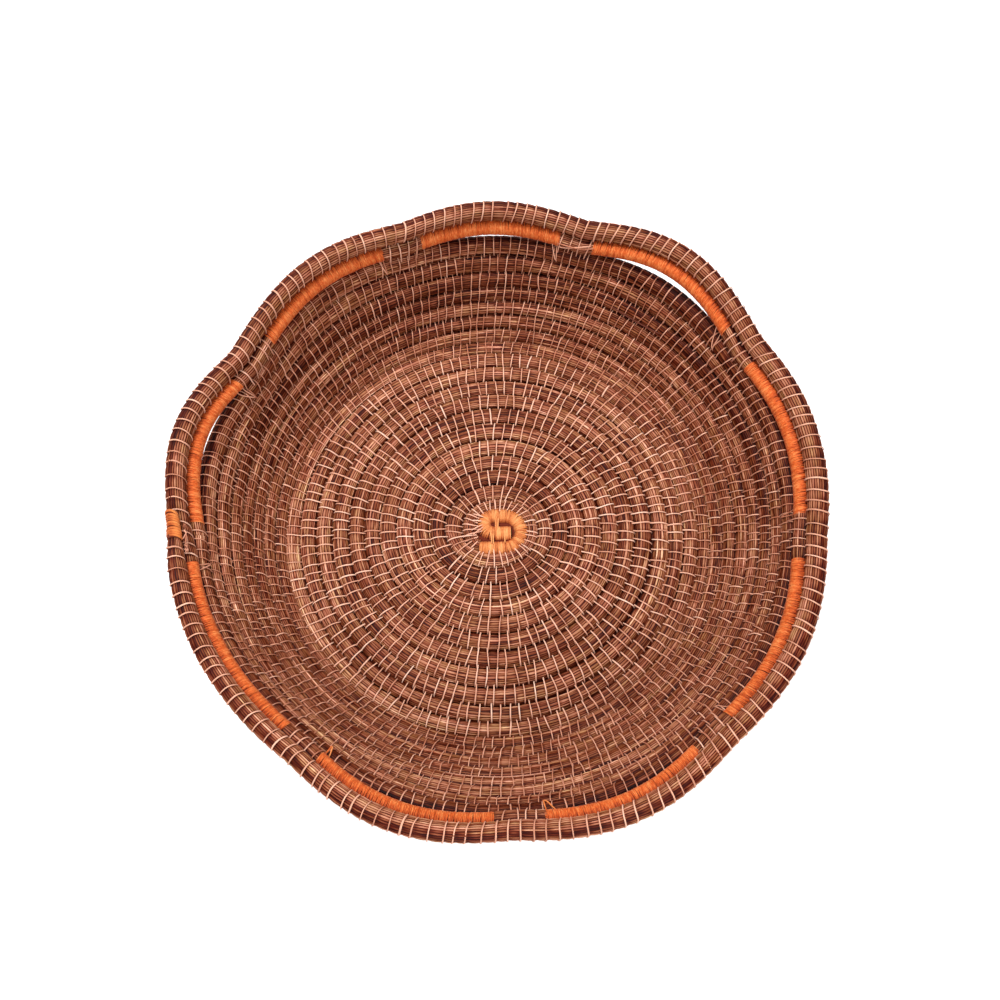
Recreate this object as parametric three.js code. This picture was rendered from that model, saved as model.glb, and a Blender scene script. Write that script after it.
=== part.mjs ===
// Coiled pine needle basket: one bundle of needles winds outwards clockwise (seen from above) from a
// folded, raffia-wrapped start, lies flat for eleven turns, climbs for eight as the wall, then makes
// one scalloped turn of nine low arches and one turn of rim that rides on them.
// Millimetres, +Z up, +Y away from the viewer, origin at the centre of the underside.
import * as THREE from 'three';

// Driving sizes of the coil
const pitch = 8.4; // from one turn of the flat base to the next
const wallPitch = 8.06; // from one turn of the wall to the next, along the slope
const flatTurns = 13.0; // turns, counted from the centre, at which the wall begins
const bendTurns = 0.7; // turns either side of there in which the base bends up into the wall
const wallSlopeFoot = 47; // degrees above level just past the bend
const wallSlopeTop = 74; // degrees above level at the top of the wall
const wallTurnsToTop = 8.5; // turns over which the wall steepens
const stepsPerTurn = 24;
const topStepsPerTurn = 48; // where the wall follows the arches
const archStepsPerTurn = 72;
const rimEndStepsPerTurn = 144; // where the rim begins and ends

// Where the turns start and end, in turns from the centre and degrees round the basket
const startAngle = 216; // where the count of turns stands at startTurns
const startTurns = 1.5;
const joinAngle = 188; // where base, wall and arches hand over to each other
const rimJoinAngle = 193.5; // where the arch coil becomes the rim
const baseTurns = 11;
const wallTurns = 8;
const topTurns = 2; // last turns of the wall, which follow the arches closely
const rimEndAngle = 185.5; // where the rim's end stops, on top of its own beginning

// Handmade unevenness: the centre of the turns lies off the rim's centre, the first turns are wide
// and the rim is slightly long from front to back
const coilCentre = [-2.5, 2.4];
const innerCentre = [-1.7, 2.4];
const startOval = -0.11;
const baseOval = -0.03;
const rimOval = 0.02;
const rimCentre = [0, 0];
const footprintCentre = [-1.67, 0.83]; // middle of the whole outline as seen from above

// Sections: half widths across the turns (reach) and through the wall (depth)
const startReach = 2.92;
const coilReach = 3.8;
const wallReach = 3.72;
const startDepth = 3.3;
const coilDepth = 4.2;
const flatShare = 0.56; // half length of the flats above and below, as a share of the reach
const archRadius = 4.2; // bare arch coil
const archCoreRadius = 3.5; // arch coil drawn in by its wrapping
const rimRadius = 4.8; // round the far side
const rimNearRadius = 4.15; // round the near side
const rimThinning = [0, -75]; // degrees between which it gets thinner
const rimTipRadius = 2.2;
const rimTaperAngle = 12; // degrees over which the rim's end thins
const rimTipLift = 0.8; // how far it rises there, to lie on the rim's beginning
const wrapClearance = 0.35;
const wrapThickness = 0.55;
const wrapRadius = archCoreRadius + wrapClearance + wrapThickness;
const rimClearance = 0.45; // between the raffia on the arches and the rim that rides on it
const rimSlope = 58.5; // degrees above level from the arch coil to the rim
const rimSteepening = 2.5; // degrees more for each millimetre that the arch coil stands out
const rimLeanAngle = 8; // degrees in which the rim moves out to its place from above the arch coil
const rimStartBulge = 1.6; // how far its beginning stands out beyond that place
const rimBulgeAngle = 30; // degrees in which the bulge dies away
const jointGap = 0.3;

// The wrapped start: a bar folded back into one turn
const startRadius = 3.15;
const barEnd = 5.4;
const barLevel = -0.3;
const foldCentre = [-3.6, 4.55];
const turnCentre = [1.7, 1.0];
const turnEnd = -10.7;
const leadRadius = 3.4; // bend in which the bare coil leaves the wrapped start

// The nine arches, clockwise from the far side: the angle where each begins, how far its foot
// stands out from the even wall, its rise, and the angles between which raffia is wound round it
const archBulge = 0.5; // outward lean of an arch, as a share of its rise
const archShape = 1.3; // how sharply an arch leaves the wall
const followShare = 0.32; // share of an arch's rise that the wall's last turn follows
const followTurns = 3; // turns of the wall that follow the arches more and more
const outsetTurns = 2.5; // turns of the wall over which its unevenness grows to that of the feet
const arches = [
  { from: 109.8, outset: 4.0, rise: 3.7, wrap: [105.5, 77.0] },
  { from: 72.8, outset: 2.2, rise: 7.9, wrap: [70.0, 38.7] },
  { from: 31.0, outset: -0.4, rise: 2.9, wrap: [28.0, -3.7] },
  { from: -9.0, outset: -0.5, rise: 3.2, wrap: [-12.9, -44.1] },
  { from: -48.5, outset: 0.7, rise: 7.6, wrap: [-53.4, -83.1] },
  { from: -87.8, outset: 1.3, rise: 7.8, wrap: [-90.7, -123.2] },
  { from: -126.9, outset: -0.8, rise: 1.8, wrap: [-130.6, -165.5] },
  { from: joinAngle - 360, outset: 2.7, rise: 8.4, wrap: [-175.2, -204.3] },
  { from: -208.4, outset: 0.7, rise: 4.8, wrap: [-215.6, -244.9] },
];

const rimWrap = [-169.6, -174.1]; // degrees between which the rim's end is bound
const needleColour = 0x8a5a46;
const rimColour = 0x84553f;
const wrapColour = 0xdd7030;
const startColour = 0xe8924e;
const needleRoughness = 0.72;
const raffiaRoughness = 0.6;

const radians = THREE.MathUtils.degToRad;
const flatOfEight = Math.cos(radians(22.5)); // an eight-sided section's flats, as a share of its radius
const smooth = (x) => THREE.MathUtils.smoothstep(x, 0, 1);
const mix = THREE.MathUtils.lerp;

// Turns counted from the centre at an angle reached after a number of whole turns
function turnsAt(angle, wholeTurns) {
  return startTurns + (startAngle - angle) / 360 + wholeTurns;
}

function angleAt(turns) {
  return startAngle - (turns - startTurns) * 360;
}

// Slope of the coil's meridian, in degrees above level
function slopeAt(turns) {
  const bend = smooth((turns - flatTurns + bendTurns) / (2 * bendTurns));
  const rise = THREE.MathUtils.clamp((turns - flatTurns) / wallTurnsToTop, 0, 1);
  return bend * mix(wallSlopeFoot, wallSlopeTop, rise);
}

// Meridian: distance from the axis and height of the coil's centre, added up in small steps
const meridianStep = 0.02;
const meridian = [{ radius: 0, height: coilDepth }];
for (let turns = 0; turns < 24; turns += meridianStep) {
  const middle = turns + meridianStep / 2;
  const slope = radians(slopeAt(middle));
  const onWall = smooth((middle - flatTurns + bendTurns) / (2 * bendTurns));
  const length = mix(pitch, wallPitch, onWall) * meridianStep;
  const last = meridian[meridian.length - 1];
  meridian.push({
    radius: last.radius + length * Math.cos(slope),
    height: last.height + length * Math.sin(slope),
  });
}

function meridianAt(turns) {
  const place = turns / meridianStep;
  const low = Math.floor(place);
  return {
    radius: mix(meridian[low].radius, meridian[low + 1].radius, place - low),
    height: mix(meridian[low].height, meridian[low + 1].height, place - low),
  };
}

// How far the wall has left the base, from 0 on the base to 1 at the rim
function wallShare(turns) {
  return smooth((turns - flatTurns) / wallTurns);
}

function ovalAt(turns) {
  const inner = mix(startOval, baseOval, smooth((turns - startTurns) / 3.5));
  const outer = inner * (1 - smooth((turns - 5) / 8));
  return turns < 5 ? inner : outer + rimOval * wallShare(turns);
}

function centreAt(turns) {
  const settled = smooth((turns - startTurns) / 2);
  const share = wallShare(turns);
  return [0, 1].map((axis) => mix(mix(innerCentre[axis], coilCentre[axis], settled), rimCentre[axis], share));
}

// A frame of the coil: its centre, and unit directions towards the next turn and through the wall
function frameAt(turns, angle, radius, height, slope) {
  const oval = ovalAt(turns);
  const [centreX, centreY] = centreAt(turns);
  const outward = new THREE.Vector3(Math.cos(radians(angle)), Math.sin(radians(angle)), 0);
  const up = new THREE.Vector3(0, 0, 1);
  const centre = new THREE.Vector3(
    centreX + radius * (1 - oval / 2) * outward.x,
    centreY + radius * (1 + oval / 2) * outward.y,
    height,
  );
  const lean = radians(slope);
  const next = outward.clone().multiplyScalar(Math.cos(lean)).addScaledVector(up, Math.sin(lean));
  const through = outward.clone().multiplyScalar(-Math.sin(lean)).addScaledVector(up, Math.cos(lean));
  return { centre, next, through };
}

// Rise of the arches above their feet and outset of the feet, at any angle
function archAt(angle) {
  const turned = THREE.MathUtils.euclideanModulo(arches[0].from - angle, 360);
  const place = arches.findLastIndex((arch) => turned >= arches[0].from - arch.from);
  const arch = arches[place];
  const next = arches[(place + 1) % arches.length];
  const begin = arches[0].from - arch.from;
  const share = (turned - begin) / (THREE.MathUtils.euclideanModulo(arch.from - next.from, 360));
  return {
    rise: arch.rise * Math.sin(Math.PI * share) ** archShape,
    outset: mix(arch.outset, next.outset, smooth(share)),
  };
}

// The wall's last turns follow the arches part of the way
function coilFrame(turns) {
  const { radius, height } = meridianAt(turns);
  const { rise, outset } = archAt(angleAt(turns));
  const followed = turns - firstArchTurns + followTurns;
  const lift = rise * followShare * smooth(followed / followTurns);
  const out = outset * smooth(followed / outsetTurns) + archBulge * lift;
  return frameAt(turns, angleAt(turns), radius + out, height + lift, slopeAt(turns));
}

function archFrame(turns) {
  const { radius, height } = meridianAt(turns);
  const { rise, outset } = archAt(angleAt(turns));
  const slope = (slopeAt(turns) + rimSlope) / 2;
  return frameAt(turns, angleAt(turns), radius + outset + archBulge * rise, height + rise, slope);
}

// The rim's thickness before its end thins
function rimFullRadius(turns) {
  const thinned = (turns - firstArchTurns - 1) * 360 - (joinAngle - rimThinning[0]);
  return mix(rimRadius, rimNearRadius, smooth(thinned / (rimThinning[0] - rimThinning[1])));
}

// The rim rides on the arch coil one turn below it. It begins as that coil's continuation, straight
// above, and moves out to its place below its own thin end.
function rimFrame(turns) {
  const { rise, outset } = archAt(angleAt(turns));
  const below = meridianAt(turns - 1);
  const above = meridianAt(turns);
  const turned = (turns - firstRimTurns) * 360;
  const leaning = smooth(turned / rimLeanAngle);
  const bulge = rimStartBulge * (1 - smooth(turned / rimBulgeAngle));
  const steep = rimSlope + rimSteepening * outset;
  const spacing = (wrapRadius + rimFullRadius(turns)) * flatOfEight + rimClearance;
  const radius = mix(above.radius, below.radius + spacing * Math.cos(radians(steep)) + bulge, leaning);
  const height = mix(above.height, below.height + spacing * Math.sin(radians(steep)), leaning);
  const slope = mix((slopeAt(turns) + rimSlope) / 2, steep, leaning);
  const lift = rise + rimTipLift * (1 - smooth((lastRimTurns - turns) * 360 / rimTaperAngle));
  return frameAt(turns, angleAt(turns), radius + outset + archBulge * rise, height + lift, slope);
}

// Section of six points: a cord pressed against its neighbours, flat above and below
function cordSection(frame, reach, depth) {
  const flat = reach * flatShare;
  const corners = [[reach, 0], [flat, depth], [-flat, depth], [-reach, 0], [-flat, -depth], [flat, -depth]];
  return corners.map(([across, along]) => frame.centre.clone()
    .addScaledVector(frame.next, across)
    .addScaledVector(frame.through, along));
}

// Section of eight points with a flat towards each neighbour
function roundSection(frame, radius) {
  const points = [];
  for (let i = 0; i < 8; i += 1) {
    const turn = radians(22.5 + 45 * i);
    points.push(frame.centre.clone()
      .addScaledVector(frame.next, radius * Math.cos(turn))
      .addScaledVector(frame.through, radius * Math.sin(turn)));
  }
  return points;
}

function closedGeometry(points, faces) {
  const geometry = new THREE.BufferGeometry();
  const places = points.flatMap((p) => [p.x, p.y, p.z]);
  geometry.setAttribute('position', new THREE.Float32BufferAttribute(places, 3));
  let volume = 0;
  for (const [a, b, c] of faces) {
    volume += points[a].dot(points[b].clone().cross(points[c]));
  }
  const outward = volume > 0 ? faces : faces.map(([a, b, c]) => [a, c, b]);
  geometry.setIndex(outward.flat());
  geometry.computeVertexNormals();
  return geometry;
}

// Joins ring after ring into a tube; the ends are closed by a fan, or joined to an inner tube
function bridge(faces, from, to, count) {
  for (let i = 0; i < count; i += 1) {
    const j = (i + 1) % count;
    faces.push([from + i, from + j, to + j], [from + i, to + j, to + i]);
  }
}

function tubeGeometry(sections) {
  const count = sections[0].length;
  const faces = [];
  for (let ring = 0; ring + 1 < sections.length; ring += 1) {
    bridge(faces, ring * count, (ring + 1) * count, count);
  }
  const last = (sections.length - 1) * count;
  for (let i = 1; i + 1 < count; i += 1) {
    faces.push([0, i + 1, i], [last, last + i, last + i + 1]);
  }
  return closedGeometry(sections.flat(), faces);
}

function sleeveGeometry(outer, inner) {
  const count = outer[0].length;
  const start = outer.length * count;
  const faces = [];
  for (let ring = 0; ring + 1 < outer.length; ring += 1) {
    bridge(faces, ring * count, (ring + 1) * count, count);
    bridge(faces, start + (ring + 1) * count, start + ring * count, count);
  }
  const last = (outer.length - 1) * count;
  bridge(faces, start, 0, count);
  bridge(faces, last, start + last, count);
  return closedGeometry([...outer.flat(), ...inner.flat()], faces);
}

// The folded start lies flat: straight bar, fold, and one turn, with the same tube all the way
function arcPoints(centre, radius, fromAngle, toAngle, steps) {
  const points = [];
  for (let i = 0; i <= steps; i += 1) {
    const turn = radians(mix(fromAngle, toAngle, i / steps));
    points.push([centre[0] + radius * Math.cos(turn), centre[1] + radius * Math.sin(turn)]);
  }
  return points;
}

// Frames along a level route, square to it
function levelFrames(route) {
  return route.map(([x, y], i) => {
    const before = route[Math.max(i - 1, 0)];
    const after = route[Math.min(i + 1, route.length - 1)];
    const heading = new THREE.Vector3(after[0] - before[0], after[1] - before[1], 0).normalize();
    const through = new THREE.Vector3(0, 0, 1);
    const next = new THREE.Vector3().crossVectors(through, heading);
    return { centre: new THREE.Vector3(x, y, startDepth), next, through };
  });
}

const foldRadius = foldCentre[1] - barLevel;
const turnRadius = foldCentre[1] + foldRadius - turnCentre[1];
const turnFoot = turnCentre[1] - turnRadius;
const startRoute = [
  [barEnd, barLevel],
  ...arcPoints(foldCentre, foldRadius, 270, 90, 8),
  ...arcPoints(turnCentre, turnRadius, 90, -90, 12),
  [turnEnd, turnFoot],
];

// Reach and depth of the bare coil: thin where it leaves the start, full after three turns
function coilSection(turns, frame) {
  const full = smooth((turns - startTurns) / 3);
  const onWall = smooth((turns - flatTurns + bendTurns) / (2 * bendTurns));
  const reach = mix(mix(startReach, coilReach, full), wallReach, onWall);
  return cordSection(frame, reach, mix(startDepth, coilDepth, full));
}

// The base stands on its flats, so the thin first turns are lowered onto the same level and no
// corner of the bend dips below it
function restOnFloor(section, slope) {
  const lowest = Math.min(...section.map((p) => p.z));
  return slope > 0 && lowest > 0 ? section : section.map((p) => p.clone().setZ(p.z - lowest));
}

const firstBaseTurns = turnsAt(joinAngle, 0);
const firstWallTurns = firstBaseTurns + baseTurns;
const firstArchTurns = firstWallTurns + wallTurns;
const firstRimTurns = firstArchTurns + 1 - (rimJoinAngle - joinAngle) / 360;
const lastRimTurns = firstArchTurns + 2 + (joinAngle - rimEndAngle) / 360;

const leadSteps = 4;
const baseTurnsList = [];
for (let i = -leadSteps - 1; i <= baseTurns * stepsPerTurn; i += 1) {
  baseTurnsList.push(firstBaseTurns + i / stepsPerTurn);
}

// The bare coil leaves the start in a bend and then lies flat, turn beside turn
function baseSections() {
  const leadCentre = [turnEnd - jointGap, turnFoot + leadRadius];
  const lead = levelFrames(arcPoints(leadCentre, leadRadius, 270, 180, leadSteps));
  lead[0].next = new THREE.Vector3(0, -1, 0);
  const bend = lead.map((frame) => restOnFloor(coilSection(startTurns, frame), 0));
  const flat = baseTurnsList.slice(lead.length)
    .map((turns) => restOnFloor(coilSection(turns, coilFrame(turns)), slopeAt(turns)));
  return [...bend, ...flat];
}

// A small turn of the spiral that leaves the joint gap between two lengths
function gapTurns(turns) {
  return jointGap / (2 * Math.PI * meridianAt(turns).radius);
}

// Turns at which a length of coil has its sections
function ringTurns(first, last, steps) {
  const list = [];
  for (let turns = first; turns < last - 0.2 / steps; turns += 1 / steps) {
    list.push(turns);
  }
  return list;
}

const wallTurnsList = [
  firstWallTurns + gapTurns(firstWallTurns),
  ...ringTurns(firstWallTurns, firstArchTurns - topTurns, stepsPerTurn).slice(1),
  ...ringTurns(firstArchTurns - topTurns, firstArchTurns, topStepsPerTurn),
  firstArchTurns,
];

function wallSections() {
  return wallTurnsList.map((turns) => restOnFloor(coilSection(turns, coilFrame(turns)), slopeAt(turns)));
}

// Arch coil: bare on its feet, drawn in where raffia is wound round it
function wrapTurns(wrap, base) {
  return wrap.map((angle) => base + THREE.MathUtils.euclideanModulo(joinAngle - angle, 360) / 360);
}

const archWraps = arches.map((arch) => wrapTurns(arch.wrap, firstArchTurns));

function archRadiusAt(turns) {
  const margin = 1 / archStepsPerTurn;
  const inside = archWraps.some(([from, to]) => turns > from - margin && turns < to + margin);
  return inside ? archCoreRadius : archRadius;
}

const archTurnsList = [
  firstArchTurns + gapTurns(firstArchTurns),
  ...ringTurns(firstArchTurns, firstRimTurns, archStepsPerTurn).slice(1),
  firstRimTurns,
];

function archSections() {
  return archTurnsList.map((turns) => roundSection(archFrame(turns), archRadiusAt(turns)));
}

function rimRadiusAt(turns) {
  const turned = (turns - firstRimTurns) * 360;
  const left = (lastRimTurns - turns) * 360;
  const full = mix(archRadius, rimFullRadius(turns), smooth(turned / rimLeanAngle));
  return mix(rimTipRadius, full, smooth(left / rimTaperAngle));
}

const rimPlaced = firstRimTurns + rimLeanAngle / 360;
const rimThins = lastRimTurns - rimTaperAngle / 360;
const rimTurnsList = [
  firstRimTurns + gapTurns(firstRimTurns),
  ...ringTurns(firstRimTurns, rimPlaced, rimEndStepsPerTurn).slice(1),
  ...ringTurns(rimPlaced, rimThins, archStepsPerTurn),
  ...ringTurns(rimThins, lastRimTurns, rimEndStepsPerTurn),
  lastRimTurns,
];

function rimSections() {
  return rimTurnsList.map((turns) => roundSection(rimFrame(turns), rimRadiusAt(turns)));
}

// A frame part way between two rings lies on the straight stretch of coil between them
function frameBetween(turnsList, frameOf, turns) {
  const after = turnsList.findIndex((ring) => ring >= turns);
  const low = frameOf(turnsList[after - 1]);
  const high = frameOf(turnsList[after]);
  const share = (turns - turnsList[after - 1]) / (turnsList[after] - turnsList[after - 1]);
  return {
    centre: low.centre.lerp(high.centre, share),
    next: low.next.lerp(high.next, share),
    through: low.through.lerp(high.through, share),
  };
}

function sleeveAlong(turnsList, frameOf, radiusOf, [from, to]) {
  const rings = [from, ...turnsList.filter((turns) => turns > from + 0.001 && turns < to - 0.001), to];
  const frames = rings.map((turns) => frameBetween(turnsList, frameOf, turns));
  const bores = rings.map((turns) => radiusOf(turns) + wrapClearance);
  const inner = frames.map((frame, i) => roundSection(frame, bores[i]));
  const outer = frames.map((frame, i) => roundSection(frame, bores[i] + wrapThickness));
  return sleeveGeometry(outer, inner);
}

// Least gap of a coil to itself, from the corners of its sections about one turn apart
function leastSelfGap(turnsList, sections) {
  let least = Infinity;
  for (let i = 0; i + 1 < sections.length; i += 1) {
    for (let near = i + 1; near < sections.length; near += 1) {
      const apart = turnsList[near] - turnsList[i];
      if (apart < 1 - 2 / stepsPerTurn || apart > 1 + 3 / stepsPerTurn) continue;
      for (let k = 0; k < sections[i].length; k += 1) {
        const edge = new THREE.Line3(sections[i][k], sections[i + 1][k]);
        for (const p of sections[near]) {
          const close = edge.closestPointToPoint(p, true, new THREE.Vector3());
          least = Math.min(least, close.distanceTo(p));
        }
      }
    }
  }
  return least;
}

const basket = new THREE.Group();
basket.name = 'pine_needle_basket';
basket.position.set(-footprintCentre[0], -footprintCentre[1], 0);

function addPiece(name, geometry, color, roughness) {
  const material = new THREE.MeshStandardMaterial({ color, roughness, metalness: 0 });
  const mesh = new THREE.Mesh(geometry, material);
  mesh.name = name;
  basket.add(mesh);
}

const startRings = levelFrames(startRoute).map((frame) => restOnFloor(roundSection(frame, startRadius), 0));
const baseRings = baseSections();
const wallRings = wallSections();
addPiece('centre_start', tubeGeometry(startRings), startColour, raffiaRoughness);
addPiece('base_coil', tubeGeometry(baseRings), needleColour, needleRoughness);
addPiece('wall_coil', tubeGeometry(wallRings), needleColour, needleRoughness);
addPiece('arch_coil', tubeGeometry(archSections()), needleColour, needleRoughness);
addPiece('rim_coil', tubeGeometry(rimSections()), rimColour, needleRoughness);
archWraps.forEach((wrap, i) => {
  const sleeve = sleeveAlong(archTurnsList, archFrame, () => archCoreRadius, wrap);
  addPiece(`arch_wrap_${i + 1}`, sleeve, wrapColour, raffiaRoughness);
});
const rimEndTurns = wrapTurns(rimWrap, firstArchTurns + 2)
  .map((turns) => (turns > lastRimTurns ? turns - 1 : turns));
const rimEndSleeve = sleeveAlong(rimTurnsList, rimFrame, rimRadiusAt, rimEndTurns);
addPiece('rim_end_wrap', rimEndSleeve, wrapColour, raffiaRoughness);

console.log('least gap of base coil to itself', leastSelfGap(baseTurnsList, baseRings).toFixed(2), 'mm');
console.log('least gap of wall coil to itself', leastSelfGap(wallTurnsList, wallRings).toFixed(2), 'mm');

export default basket;
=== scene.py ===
import math

import bpy
import numpy as np
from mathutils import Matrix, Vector


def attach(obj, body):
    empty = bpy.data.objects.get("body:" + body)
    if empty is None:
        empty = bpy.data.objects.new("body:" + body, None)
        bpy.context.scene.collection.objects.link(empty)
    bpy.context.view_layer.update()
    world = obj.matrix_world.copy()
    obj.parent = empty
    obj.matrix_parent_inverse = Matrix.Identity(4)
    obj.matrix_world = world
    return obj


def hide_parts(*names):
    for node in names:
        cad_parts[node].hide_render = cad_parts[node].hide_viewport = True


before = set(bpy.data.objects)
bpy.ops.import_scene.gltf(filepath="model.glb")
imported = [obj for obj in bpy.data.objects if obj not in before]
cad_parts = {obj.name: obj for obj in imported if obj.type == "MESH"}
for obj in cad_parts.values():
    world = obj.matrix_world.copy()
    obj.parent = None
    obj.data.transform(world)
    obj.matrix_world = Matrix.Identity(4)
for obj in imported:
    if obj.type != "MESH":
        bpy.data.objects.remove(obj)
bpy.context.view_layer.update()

# Everything below is in metres and degrees, in the frame of the solids.
mm = 0.001

# Driving sizes of the coil, the same as those of the solids
pitch = 8.4 * mm
wall_pitch = 8.06 * mm
flat_turns = 13.0
bend_turns = 0.7
wall_slope_foot = 47.0
wall_slope_top = 74.0
wall_turns_to_top = 8.5
start_angle = 216.0
start_turns = 1.5
join_angle = 188.0
rim_join_angle = 193.5
base_turns = 11
wall_turns = 8
rim_end_angle = 185.5
coil_centre = np.array([-2.5, 2.4]) * mm
inner_centre = np.array([-1.7, 2.4]) * mm
start_oval = -0.11
base_oval = -0.03
rim_oval = 0.02
base_oval_after = 3.5
base_oval_to = 5.0
base_oval_fading = 8.0
footprint_centre = np.array([-1.67, 0.83]) * mm
start_depth = 3.3 * mm
coil_depth = 4.2 * mm
wrap_radius = 4.4 * mm
rim_radius = 4.8 * mm
rim_near_radius = 4.15 * mm
rim_thinning = (0.0, -75.0)
rim_tip_lift = 0.8 * mm
rim_taper_angle = 12.0
rim_clearance = 0.45 * mm
rim_slope = 58.5
rim_steepening = 2.5
rim_lean_angle = 8.0
rim_start_bulge = 1.6 * mm
rim_bulge_angle = 30.0
flat_of_eight = math.cos(math.radians(22.5))

# The arches, clockwise from the far side: angle of the foot, how far it stands out, rise of the
# arch and the angles between which raffia is wound round it
arch_bulge = 0.5
arch_shape = 1.3
follow_share = 0.32
follow_turns = 3
outset_turns = 2.5
arch_from = np.array([109.8, 72.8, 31.0, -9.0, -48.5, -87.8, -126.9, join_angle - 360, -208.4])
arch_outset = np.array([4.0, 2.2, -0.4, -0.5, 0.7, 1.3, -0.8, 2.7, 0.7]) * mm
arch_height = np.array([3.7, 7.9, 2.9, 3.2, 7.6, 7.8, 1.8, 8.4, 4.8]) * mm
arch_wraps = [
    (106.6, 77.4), (70.1, 36.9), (28.3, -4.3), (-13.2, -45.6), (-54.2, -82.4),
    (-91.1, -122.8), (-130.8, -166.2), (-174.6, -204.0), (-215.1, -245.0),
]
rim_wrap = (-170.2, -174.9)

# How far the hand's wall comes up towards each arch beyond that of the solids, how far it goes out
# and how much thicker its top turn is, both as a share of that, and the turns in which it does so
arch_closer = np.array([0.0, 0.5, 0.0, 0.0, 0.0, 0.0, 0.0, 1.1, 2.1]) * mm
closer_out = 0.75
closer_reach = 0.2
closer_turns = 4
closer_before_arches = 0.5

# The folded start
bar_end = 5.4 * mm
bar_level = -0.3 * mm
fold_centre = np.array([-3.6, 4.55]) * mm
turn_centre = np.array([1.7, 1.0]) * mm
turn_end = -10.7 * mm
start_slack = np.array([0.5, -0.6]) * mm

# The bundle as it looks: half widths of a turn where it is full, and how its needles lie in it
bundle_depth = 4.25 * mm
wall_overlap = 0.12 * mm
top_bundle_reach = 4.2 * mm
thin_share = 0.9
thin_bundle_depth = 3.4 * mm
arch_bundle = 4.15 * mm
arch_core = 3.55 * mm
rim_bundle = 4.6 * mm
rim_near_bundle = 4.05 * mm
rim_tip_bundle = 2.1 * mm
needles_round = 24
points_per_needle = 3
thread_sides = 5
thread_side = 0.5 * mm
core_side = 1.3 * mm
first_stitch_spacing = 2.7 * mm
base_stitch_spacing = 4.95 * mm
wall_stitch_spacing = 4.65 * mm
rim_stitch_spacing = 5.35 * mm
stitch_thickness = 0.24 * mm
stitch_clearance = 0.14 * mm
stitch_squareness = 2.3
stitch_rings = 15
cord_rings = 13
floor_softness = 0.4 * mm

# Where the hand's coil lies beside the even spiral of the solids, in mm by turn: how much further
# out, to the right, to the far side and out on the left and right but in on the other two sides
wander_turns = [1.4, 2.8, 5.6, 7.2, 9.0, 10.2, 11.2, 12.4, 14.5, 17.5]
wander_out = [-0.3, -1.4, -1.4, -0.7, -0.5, -0.1, -0.1, -0.6, -0.5, 0.0]
wander_right = [0.3, -0.2, -0.5, -0.2, 0.2, 0.7, 0.4, 0.0, -0.1, 0.0]
wander_far = [-0.5, -1.0, -1.5, -0.5, -0.6, -1.4, -1.2, -1.0, -0.7, 0.0]
wander_oval = [0.4, 0.7, 0.7, 0.2, 0.0, 0.3, 0.0, 0.2, 0.0, 0.0]

noise_cells = 4096
tone_cells = 8192
seed = 20
rng = np.random.default_rng(seed)


def smooth(x):
    x = np.clip(x, 0.0, 1.0)
    return x * x * (3.0 - 2.0 * x)


def mix(a, b, share):
    return a + (b - a) * share


def unit(v):
    return v / np.linalg.norm(v, axis=-1, keepdims=True)


def squared(value, squareness):
    """The sine or cosine of a round outline as that of a squarer one."""
    return np.sign(value) * np.abs(value) ** (2.0 / squareness)


def value_noise(x, seed_number):
    """Smooth noise from 0 to 1 along a line, one value for each whole number of x."""
    cell = np.floor(x).astype(np.int64)
    table = np.random.default_rng(seed_number).random(noise_cells)
    low = table[cell % noise_cells]
    high = table[(cell + 1) % noise_cells]
    return mix(low, high, smooth(x - cell))


def side_by_side(x, step, number, seed_number):
    """The noise of several lines in one table, each a step further on."""
    return np.stack([value_noise(x + step * k, seed_number) for k in range(number)], 1)


# The coil's route, as in the solids
def angle_at(turns):
    return start_angle - (turns - start_turns) * 360.0


def slope_at(turns):
    bend = smooth((turns - flat_turns + bend_turns) / (2 * bend_turns))
    rise = np.clip((turns - flat_turns) / wall_turns_to_top, 0.0, 1.0)
    return bend * mix(wall_slope_foot, wall_slope_top, rise)


meridian_step = 0.02
meridian_turns = np.arange(0.0, 24.0 + meridian_step, meridian_step)
middles = meridian_turns[:-1] + meridian_step / 2
bent = smooth((middles - flat_turns + bend_turns) / (2 * bend_turns))
lengths = mix(pitch, wall_pitch, bent) * meridian_step
slopes = np.radians(slope_at(middles))
meridian_radius = np.concatenate([[0.0], np.cumsum(lengths * np.cos(slopes))])
meridian_height = coil_depth + np.concatenate([[0.0], np.cumsum(lengths * np.sin(slopes))])


def meridian_at(turns):
    radius = np.interp(turns, meridian_turns, meridian_radius)
    return radius, np.interp(turns, meridian_turns, meridian_height)


def wall_share(turns):
    return smooth((turns - flat_turns) / wall_turns)


def oval_at(turns):
    inner = mix(start_oval, base_oval, smooth((turns - start_turns) / base_oval_after))
    outer = inner * (1 - smooth((turns - base_oval_to) / base_oval_fading)) + rim_oval * wall_share(turns)
    return np.where(turns < base_oval_to, inner, outer)


def frames_at(turns, angle, radius, height, slope):
    """Centres, and unit directions towards the next turn, through the wall and along the coil."""
    oval = oval_at(turns)
    settled = smooth((turns - start_turns) / 2)[:, None]
    middle = mix(mix(inner_centre, coil_centre, settled), np.zeros(2), wall_share(turns)[:, None])
    middle = middle - footprint_centre
    out = np.stack([np.cos(np.radians(angle)), np.sin(np.radians(angle)), 0 * angle], -1)
    up = np.array([0.0, 0.0, 1.0])
    centre = np.stack([
        middle[:, 0] + radius * (1 - oval / 2) * out[:, 0],
        middle[:, 1] + radius * (1 + oval / 2) * out[:, 1],
        height + 0 * radius,
    ], -1)
    lean = np.radians(slope)[:, None]
    across = out * np.cos(lean) + up * np.sin(lean)
    through = -out * np.sin(lean) + up * np.cos(lean)
    return centre, across, through, np.cross(across, through)


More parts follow.
